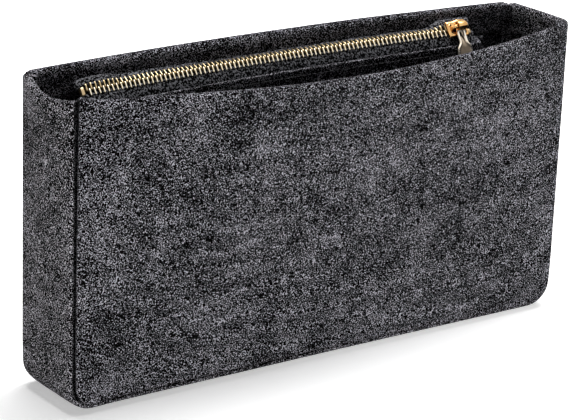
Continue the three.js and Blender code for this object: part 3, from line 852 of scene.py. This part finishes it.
def teeth_row(name, side, first):
    parts = ([], [])
    count = int((LAST_TOOTH - first) / PITCH) + 1
    for i in range(count):
        x = first + i * PITCH
        loops = []
        for across, half_width, half_height in TOOTH_SECTIONS:
            section = rounded_bar(half_width, half_height)
            loops.append([chain_place(x + along, side * across, above, side) for along, above in section])
        add_loft(parts, loops)
    return mesh_object(name, parts)


def polish_marks():
    """Plated metal that has been handled: soft clouds of tone and fine rubbed lines."""
    group, place = new_group("polish_marks", ("Tone", "Rub"))
    tone = speckle(group, place, 260, 3, Roughness=0.6)
    rub = speckle(group, stretched(group, place, (400, 2600, 2600)), 1, 2)
    add_node(group, "NodeGroupOutput", {"Tone": tone, "Rub": rub})
    return group


polish = polish_marks()


def gold_material(name, deep, bright, smoothest, roughest):
    made, tree, place = new_material(name)
    marks = add_node(tree, "ShaderNodeGroup", {"Place": place}, node_tree=polish)
    rub = marks.outputs["Rub"]
    principled(tree, {
        "Base Color": colour_ramp(tree, marks.outputs["Tone"], ((0.3, deep), (0.7, bright))),
        "Metallic": 1.0, "Roughness": ranged(tree, rub, 0.3, 0.7, smoothest, roughest),
        "Normal": bumped(tree, rub, 0.08, 0.00005),
    })
    return made


# painted light and painted shade: a paler and a deeper copy of the same gold for the two rows of teeth
rear_gold_painted_shade = gold_material("rear_gold_painted_shade", (0.46, 0.35, 0.19), (0.66, 0.52, 0.31), 0.2, 0.36)
front_gold_painted_light = gold_material("front_gold_painted_light", (0.8, 0.69, 0.49), (0.97, 0.89, 0.7), 0.14, 0.28)
rear_teeth = teeth_row("rear_teeth", 1, FIRST_REAR_TOOTH)
front_teeth = teeth_row("front_teeth", -1, FIRST_REAR_TOOTH + PITCH / 2)
for row, node, gold in (
    (rear_teeth, "zip_teeth_rear", rear_gold_painted_shade), (front_teeth, "zip_teeth_front", front_gold_painted_light),
):
    row.data.materials.append(gold)
    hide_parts(node)
    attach(row, "shell")
open_with_slider(front_teeth)


# Stops: bent gold strip clamped round the chain's ends. The bottom stop holds both rows together,
# and each row has a top stop of its own where the slider is parked.
STOP_HALF_HEIGHT = 1.2
STOP_SECTIONS = (
    # share of the way across, size of the section
    (0, 0.72), (0.06, 0.92), (0.16, 1), (0.4, 1.03), (0.6, 1.03), (0.84, 1), (0.94, 0.92), (1, 0.72),
)
STOPS = (
    # name, CAD node, its left and right end along the zip, its two edges across the chain
    ("bottom_stop", "zip_bottom_stop", -105.3, -103.7, -1.9, 1.9),
    ("rear_top_stop", "zip_top_stop_rear", 97.5, 99.5, 0.6, 2.9),
    ("front_top_stop", "zip_top_stop_front", 97.5, 99.5, -2.9, -0.6),
)
# painted shade: a darker copy of the gold, used on all three stops
stop_gold_painted_shade = gold_material("stop_gold_painted_shade", (0.36, 0.26, 0.14), (0.56, 0.43, 0.26), 0.24, 0.4)
for name, node, left, right, low, high in STOPS:
    parts = ([], [])
    x, half = (left + right) / 2, (right - left) / 2
    loops = []
    for share, size in STOP_SECTIONS:
        section = rounded_bar(half * min(size, 1), STOP_HALF_HEIGHT * size, corners=16, squareness=0.4)
        across = lerp(low, high, share)
        loops.append([chain_place(x + along, across, above) for along, above in section])
    add_loft(parts, loops)
    stop = mesh_object(name, parts)
    stop.data.materials.append(stop_gold_painted_shade)
    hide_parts(node)
    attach(stop, "shell")
    if name == "front_top_stop":
        open_with_slider(stop)


# Slider: a gold-plated casting. Two domed plates are joined by a wedge that parts the teeth,
# their sides are turned towards each other, and the tapes run out through the slots between them.
SLIDER_HALF = 5.5
TAIL_HALF = 3.7
SHOULDER_HALF = 4.3
NOSE_TAPER = 0.3
WAIST = 1.1  # the wedge begins here, measured from the slider's middle
FLARE_FROM = -1.4
PLAN_ROUND = 1.1
CHANNEL_HALF_WIDTH = 3.2
CHANNEL_HALF_HEIGHT = 1.5
PLATE_TOP = 2.4
SLOT_HALF = 0.6
WALL_ROUND = 0.5
WALL_STEPS = 3
DOME = (
    # inset of the outline, height above the slider's middle plane
    (0.1, CHANNEL_HALF_HEIGHT), (0, 1.6), (0, 1.95), (0.1, 2.18),
    (0.3, 2.32), (0.7, 2.42), (1.4, 2.5), (2.4, 2.54),
)
TURNED_IN = ((0.05, 1.9), (0.05, 0.85), (0.15, 0.68), (0.3, SLOT_HALF))
WEDGE_END = SLIDER_HALF - 0.1
WEDGE = ((WAIST, 0), (3.7, -1.4), (WEDGE_END, -0.7), (WEDGE_END, 0.7), (3.7, 1.4))
WEDGE_HALF_HEIGHT = 2


def closed_curve(corners, radius, steps=5):
    """A closed outline through corners, each one rounded."""
    outline = []
    for i, corner in enumerate(corners):
        outline += corner_arc(corners[i - 1], corner, corners[(i + 1) % len(corners)], radius, steps, 0.45)
    return outline


def shrunk(outline, inset):
    """The outline moved inwards; it runs anticlockwise."""
    moved = []
    for i, point in enumerate(outline):
        along = outline[(i + 1) % len(outline)] - outline[i - 1]
        inwards = Vector((-along.y, along.x)).normalized()
        moved.append(point + inwards * inset)
    return moved


def add_stack(mesh_parts, outline, levels, place):
    """Adds a body whose plan is an outline, with an inset and a height at each level."""
    loops = []
    for inset, level in levels:
        loops.append([place(point.x, point.y, level) for point in shrunk(outline, inset)])
    add_loft(mesh_parts, loops)


def on_slider(along, across, above):
    return straight_chain(SLIDER_X + along, across, above)


parts = ([], [])
near = [
    (-SLIDER_HALF, -TAIL_HALF), (FLARE_FROM, -TAIL_HALF),
    (WAIST, -SHOULDER_HALF), (SLIDER_HALF, -SHOULDER_HALF + NOSE_TAPER),
]
plan = closed_curve(near + [(x, -y) for x, y in reversed(near)], PLAN_ROUND)
for face in (1, -1):
    add_stack(parts, plan, [(inset, face * level) for inset, level in DOME], on_slider)
    for side in (1, -1):
        corners = [(-SLIDER_HALF, -CHANNEL_HALF_WIDTH)] + near + [(SLIDER_HALF, -CHANNEL_HALF_WIDTH)]
        if side > 0:
            corners = [(x, -y) for x, y in reversed(corners)]
        wall = closed_curve(corners, WALL_ROUND, WALL_STEPS)
        add_stack(parts, wall, [(inset, face * level) for inset, level in TURNED_IN], on_slider)
wedge = closed_curve(WEDGE, WALL_ROUND, WALL_STEPS)
add_stack(parts, wedge, [(0, -WEDGE_HALF_HEIGHT), (0, WEDGE_HALF_HEIGHT)], on_slider)
slider = mesh_object("slider_casting", parts)
slider_gold = gold_material("slider_gold", (0.6, 0.31, 0.11), (0.84, 0.52, 0.22), 0.07, 0.16)
slider.data.materials.append(slider_gold)
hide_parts("slider_body")
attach(slider, "slider")


# Crown: the gold arch on top of the slider that the pull hangs from.
# It is a bent bar whose two feet are staked into the upper plate.
CROWN_AT = 3.2  # feet, measured from the slider's middle
CROWN_BAR_HEIGHT = 5.161
CROWN_HALF_WIDTH = 0.75
CROWN_HALF_BAR = 0.6
CROWN_ROUND = 1.9
FOOT_SPREAD = 0.25
FOOT_SINK = 0.3  # into the plate
FOOT_FLARE = 0.35
FLARE_HEIGHT = 1.1
FLARE_RUN = 1.2

foot_x, foot_y = CROWN_AT + FOOT_SPREAD, PLATE_TOP - FOOT_SINK
arch = rounded_path([
    (-foot_x, foot_y), (-CROWN_AT, CROWN_BAR_HEIGHT), (CROWN_AT, CROWN_BAR_HEIGHT), (foot_x, foot_y),
], CROWN_ROUND, steps=9)
loops = []
for i, point in enumerate(arch):
    along = heading(arch, i).normalized()
    out = Vector((-along.y, along.x))
    foot = 1 + FOOT_FLARE * smooth((PLATE_TOP + FLARE_HEIGHT - point.y) / FLARE_RUN)
    section = rounded_bar(CROWN_HALF_WIDTH * foot, CROWN_HALF_BAR * foot, corners=16, squareness=0.62)
    loop = []
    for across, above in section:
        spot = point + out * above
        loop.append(on_slider(spot.x, across, spot.y))
    loops.append(loop)
parts = ([], [])
add_loft(parts, loops)
crown = mesh_object("crown_arch", parts)
crown.data.materials.append(slider_gold)
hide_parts("slider_crown")
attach(crown, "slider")


# Pull: a gold-plated tab in the shape of a bottle. A rolled eye at its neck swings on the crown's bar,
# and a raised rim runs round a plain sunk field.
PIVOT = Vector((91.7, 10.4808, 130.8771))
PULL_LEAN = math.radians(-12.202)
PULL_LENGTH = 20
PULL_HALF = 4.1
NECK_HALF = 2.3
NECK_FROM = 1.6
NECK_LENGTH = 7
SHOULDER_LENGTH = 3.4
PULL_THICKNESS = 1.2
EYE_INNER = 1.26
EYE_OUTER = 2.16
EYE_STEPS = 32
PULL_RIM = 1.1
PULL_FIELD = 0.35
NECK_SET_BACK = 1.9  # the neck leaves the eye's foot and bends out to the tab
NECK_BEND_FROM = 2.5
NECK_BEND_TO = 9.5


def on_pull(along, down, out):
    """A point of the pull: along the crown's bar, down the tab from the bar, and out to the front."""
    turned = Vector((along, -out, -down))
    turned.rotate(Matrix.Rotation(PULL_LEAN, 3, "X"))
    turned.rotate(Matrix.Rotation(-CHAIN_ANGLE, 3, "Y"))
    return PIVOT + turned


def bottle():
    shoulder = NECK_LENGTH + SHOULDER_LENGTH
    low = PULL_LENGTH - PULL_HALF
    right = [Vector((NECK_HALF, d)) for d in spaced(NECK_FROM, NECK_LENGTH, 11)]
    for share in spaced(0, 1, 11)[1:]:
        half = lerp(NECK_HALF, PULL_HALF, smooth(share))
        right.append(Vector((half, NECK_LENGTH + SHOULDER_LENGTH * share)))
    right += [Vector((PULL_HALF, d)) for d in spaced(shoulder, low, 5)[1:]]
    angles = spaced(0, math.pi, 19)[1:-1]
    tip = [Vector((PULL_HALF * math.cos(a), low + PULL_HALF * math.sin(a))) for a in angles]
    left = [Vector((-point.x, point.y)) for point in right[::-1]]
    return right + tip + left


def on_tab(along, down, out):
    bent = smooth((down - NECK_BEND_FROM) / (NECK_BEND_TO - NECK_BEND_FROM))
    return on_pull(along, down, out - NECK_SET_BACK * (1 - bent))


parts = ([], [])
front, back = EYE_OUTER, EYE_OUTER - PULL_THICKNESS
tab_levels = [
    # inset of the outline, height through the tab: its back, its edge, the raised rim and the field
    (0.35, back), (0.12, back + 0.07), (0, back + 0.3),
    (0, front - 0.42), (0.07, front - 0.22), (0.22, front - 0.07), (PULL_RIM / 2, front),
    (PULL_RIM - 0.22, front - 0.07), (PULL_RIM - 0.07, front - 0.2),
    (PULL_RIM, front - PULL_FIELD), (PULL_RIM + 0.5, front - PULL_FIELD - 0.02),
]
outline = bottle()
add_stack(parts, outline, tab_levels, on_tab)
points, faces = parts
first_eye_face = len(faces)
eye_radius = (EYE_OUTER + EYE_INNER) / 2
eye_section = rounded_bar(NECK_HALF, (EYE_OUTER - EYE_INNER) / 2, corners=16, squareness=0.4)
faces.extend(band_faces(len(points), len(eye_section), EYE_STEPS, closed=True))
for angle in spaced(0, 2 * math.pi, EYE_STEPS + 1)[:-1]:
    for along, above in eye_section:
        radius = eye_radius + above
        points.append(on_pull(along, radius * math.cos(angle), radius * math.sin(angle)))
pull = mesh_object("pull_tab_casting", parts)
pull.data.materials.append(gold_material("pull_gold", (0.86, 0.76, 0.62), (0.96, 0.89, 0.78), 0.2, 0.36))
pull.data.materials.append(gold_material("field_gold", (0.5, 0.39, 0.28), (0.74, 0.61, 0.47), 0.34, 0.5))
# painted shade: the pull's eye takes the slider's deeper gold instead of the tab's paler gold
pull.data.materials.append(slider_gold)
bands = len(tab_levels) - 1
field_faces = [*range((bands - 1) * len(outline), bands * len(outline)), bands * len(outline) + 1]
for material, shown_on in ((1, field_faces), (2, range(first_eye_face, len(faces)))):
    for face in shown_on:
        pull.data.polygons[face].material_index = material
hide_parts("pull_tab")
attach(pull, "pull")


# Stitching: dark polyester thread in short lock stitches. It closes the two turned seams from inside,
# and holds the tapes and both ends of the pocket felt.
STITCH_PITCH = 3
STITCH_LENGTH = 2.5
STITCH_BOW = 0.28
STITCH_SINK = 0.3
THREAD = 0.6
THREAD_ENDS = 0.55  # a stitch thins to this share of the thread at its ends
ON_FACE = 0.05
SEAM_STITCH_LIFT = 0.5
SEAM_STITCH_IN = 8.8
SEAM_STITCH_TOP = 118
FRONT_STITCH_BELOW = 3
REAR_STITCH_ABOVE = 1.5
SIDE_STITCH_FROM = 11.6
SIDE_STITCH_TO = 119


def stitch_line(name, path, out):
    """A row of stitches along a path of points, each one bowed out a little and sunk at its ends."""
    path = [Vector(point) for point in path]
    out = [Vector(way).normalized() for way in out]
    runs = [0]
    for a, b in zip(path, path[1:]):
        runs.append(runs[-1] + (b - a).length)

    def spot(run, lift):
        i = next((k for k in range(len(path) - 2) if runs[k + 1] >= run), len(path) - 2)
        share = (run - runs[i]) / max(runs[i + 1] - runs[i], 1e-6)
        return path[i].lerp(path[i + 1], share) + out[i].lerp(out[i + 1], share) * lift

    def thickness(share):
        return THREAD / 2 * (THREAD_ENDS + (1 - THREAD_ENDS) * math.sin(math.pi * share))

    parts = ([], [])
    for i in range(int(runs[-1] / STITCH_PITCH)):
        start = i * STITCH_PITCH + (STITCH_PITCH - STITCH_LENGTH) / 2
        bar = []
        for share in spaced(0, 1, 7):
            lift = STITCH_BOW * math.sin(math.pi * share) - STITCH_SINK
            bar.append(spot(start + share * STITCH_LENGTH, lift))
        add_tube(parts, bar, thickness, sides=8)
    return mesh_object(name, parts)


def thread_material(name, dark, light):
    made, tree, place = new_material(name)
    inputs = {"Vector": place, "Scale": 700, "Distortion": 1}
    ply = add_node(tree, "ShaderNodeTexWave", inputs, bands_direction="DIAGONAL").outputs["Fac"]
    principled(tree, {
        "Base Color": colour_ramp(tree, ply, ((0.2, dark), (0.9, light))), "Roughness": 0.6,
        "Normal": bumped(tree, ply, 0.6, 0.0001),
    })
    return made


def seam_path(side):
    """Along the foot of a turned seam, on the end strip's inner face, and the way out of the felt."""
    inwards = FELT + SEAM_STITCH_LIFT
    y = side * (HALF_DEPTH - SEAM_STITCH_IN)
    heights, angles = spaced(SEAM_STITCH_TOP, CORNER, 24), spaced(0, math.pi / 2, 10)[1:]
    path, out = [], []
    for x, z, in_x, in_z in strip_path(heights, angles):
        swell = abs(in_x) * end_swell(-in_x, y, z) if in_x else 0
        path.append((x + in_x * inwards + swell, y, z + in_z * inwards))
        out.append((in_x, 0, in_z))
    return path, out


def on_pocket(x, z):
    return x, pocket_y(x, z) - FELT / 2 - ON_FACE, z


def on_rear_tape(x, z):
    return x, wall_face(1, x, z) - 2 * RIM_ROUND - PLAY - TAPE - ON_FACE, z


zip_xs = spaced(TAPE_START + 1, TAPE_END - 1, 80)
side_zs = spaced(SIDE_STITCH_FROM, SIDE_STITCH_TO, 40)
flange_middle = PLAY + POCKET_TURN + POCKET_FLANGE / 2
straight_lines = (
    ("front_zip_stitches", "zip_thread_front",
     [on_pocket(x, pocket_top(x)[1] - FRONT_STITCH_BELOW) for x in zip_xs]),
    ("rear_zip_stitches", "zip_thread_rear",
     [on_rear_tape(x, chain_place(x, REAR_BEND, 0)[2] - REAR_LAP + REAR_STITCH_ABOVE) for x in zip_xs]),
    ("left_pocket_stitches", "pocket_thread_left",
     [on_pocket(TAPE_START - flange_middle, z) for z in side_zs]),
    ("right_pocket_stitches", "pocket_thread_right",
     [on_pocket(TAPE_END + flange_middle, z) for z in side_zs]),
)
stitch_lines = [
    ("front_seam_stitches", "front_seam_thread", *seam_path(-1)),
    ("back_seam_stitches", "back_seam_thread", *seam_path(1)),
]
for name, node, path in straight_lines:
    stitch_lines.append((name, node, path, [(0, -1, 0)] * len(path)))
thread = thread_material("thread", (0.012, 0.012, 0.014), (0.04, 0.04, 0.046))
for name, node, path, out in stitch_lines:
    stitches = stitch_line(name, path, out)
    stitches.data.materials.append(thread)
    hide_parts(node)
    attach(stitches, "shell")


# Studio: a plain white floor that keeps the soft shadow, a white surround, three soft lamps
# and the camera. The floor's glow holds painted shade: it glows least to the left of the box, deepening the
# shadow there.
HALF_FLOOR = 4
FLOOR_DROP = 0.0003
GLOW_CENTRE = (-0.4, 0, 0)
GLOW_FROM = 0.22
GLOW_TO = 0.92
GLOW_LEAST = 0.36
SOFT_LEVEL = 0.06  # what the surround adds to the lamps
LAMPS = (
    # name, place, aim, width, height, watts
    ("front_softbox", (0.7, -1.6, 0.06), (0, 0, 0.06), 1.4, 0.1, 23),
    ("left_softbox", (-1.6, -0.45, 0.08), (0, 0, 0.08), 1.0, 0.16, 12.6),
    ("top_softbox", (0.3, 0.17, 1.2), (0.3, 0.17, 0), 1.2, 0.7, 26),
)
PHOTO_WIDTH = 569
FOCAL_PIXELS = 2461.5
CAMERA_PLACE = (-607.4, -814.55, 402.0)
CAMERA_TURNS = (36.231, 18.549, 2.172)  # to the right, down and round its own axis
SENSOR_WIDTH = 36

floor_mesh = bpy.data.meshes.new("floor")
floor_mesh.from_pydata(
    [(x * HALF_FLOOR, y * HALF_FLOOR, 0) for x, y in ((-1, -1), (1, -1), (1, 1), (-1, 1))], [], [(0, 1, 2, 3)]
)
floor = in_scene("floor", floor_mesh)
floor.location.z = -FLOOR_DROP
floor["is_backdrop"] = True


def seen_directly(tree):
    """1 for the camera's own rays and for those that metal or glass passes on, and 0 for the rest."""
    path = add_node(tree, "ShaderNodeLightPath")
    seen = path.outputs["Is Camera Ray"]
    for ray in ("Is Glossy Ray", "Is Transmission Ray"):
        seen = calculated(tree, "MAXIMUM", seen, path.outputs[ray])
    return seen


floor_paint, floor_tree, floor_place = new_material("floor_paint")
# painted shade: the floor's glow falls off towards a place left of the box
floor_reach = add_node(
    floor_tree, "ShaderNodeVectorMath", {0: floor_place, 1: GLOW_CENTRE}, operation="DISTANCE"
)
floor_glow_painted_shade = ranged(floor_tree, floor_reach.outputs["Value"], GLOW_FROM, GLOW_TO, GLOW_LEAST, 1.0)
principled(floor_tree, {
    "Base Color": (0.82, 0.82, 0.82, 1), "Roughness": 0.9, "Specular IOR Level": 0.0,
    "Emission Color": (1, 1, 1, 1),
    "Emission Strength": calculated(floor_tree, "MULTIPLY", seen_directly(floor_tree), floor_glow_painted_shade),
})
floor_mesh.materials.append(floor_paint)

world = bpy.data.worlds.new("studio")
bpy.context.scene.world = world
world.use_nodes = True
sky = world.node_tree
sky.nodes.clear()
sky_strength = ranged(sky, seen_directly(sky), 0, 1, SOFT_LEVEL, 1.0)
sky_light = add_node(sky, "ShaderNodeBackground", {"Color": (1, 1, 1, 1), "Strength": sky_strength})
sky_output = add_node(sky, "ShaderNodeOutputWorld")
sky.links.new(sky_light.outputs[0], sky_output.inputs[0])

for name, place, aim, width, height, power in LAMPS:
    lamp = bpy.data.lights.new(name, "AREA")
    lamp.shape = "RECTANGLE"
    lamp.size = width
    lamp.size_y = height
    lamp.energy = power
    softbox = in_scene(name, lamp)
    softbox.location = place
    softbox.rotation_mode = "QUATERNION"
    softbox.rotation_quaternion = (Vector(aim) - Vector(place)).to_track_quat("-Z", "Y")
    softbox.visible_camera = False

yaw, pitch, roll = (math.radians(degrees) for degrees in CAMERA_TURNS)
right = Vector((math.cos(yaw), -math.sin(yaw), 0))
ahead = Vector((math.sin(yaw) * math.cos(pitch), math.cos(yaw) * math.cos(pitch), -math.sin(pitch)))
above = right.cross(ahead)
tilted_right = right * math.cos(roll) + above * math.sin(roll)
tilted_above = above * math.cos(roll) - right * math.sin(roll)
lens = bpy.data.cameras.new("camera")
lens.sensor_width = SENSOR_WIDTH
lens.lens = FOCAL_PIXELS / PHOTO_WIDTH * lens.sensor_width
lens.clip_end = 100
camera = in_scene("camera", lens)
axes = Matrix((tilted_right, tilted_above, -ahead)).transposed()
camera.matrix_world = Matrix.Translation(Vector(CAMERA_PLACE) * MM) @ axes.to_4x4()
bpy.context.scene.camera = camera
bpy.context.scene.view_settings.view_transform = "Standard"

low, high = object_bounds()
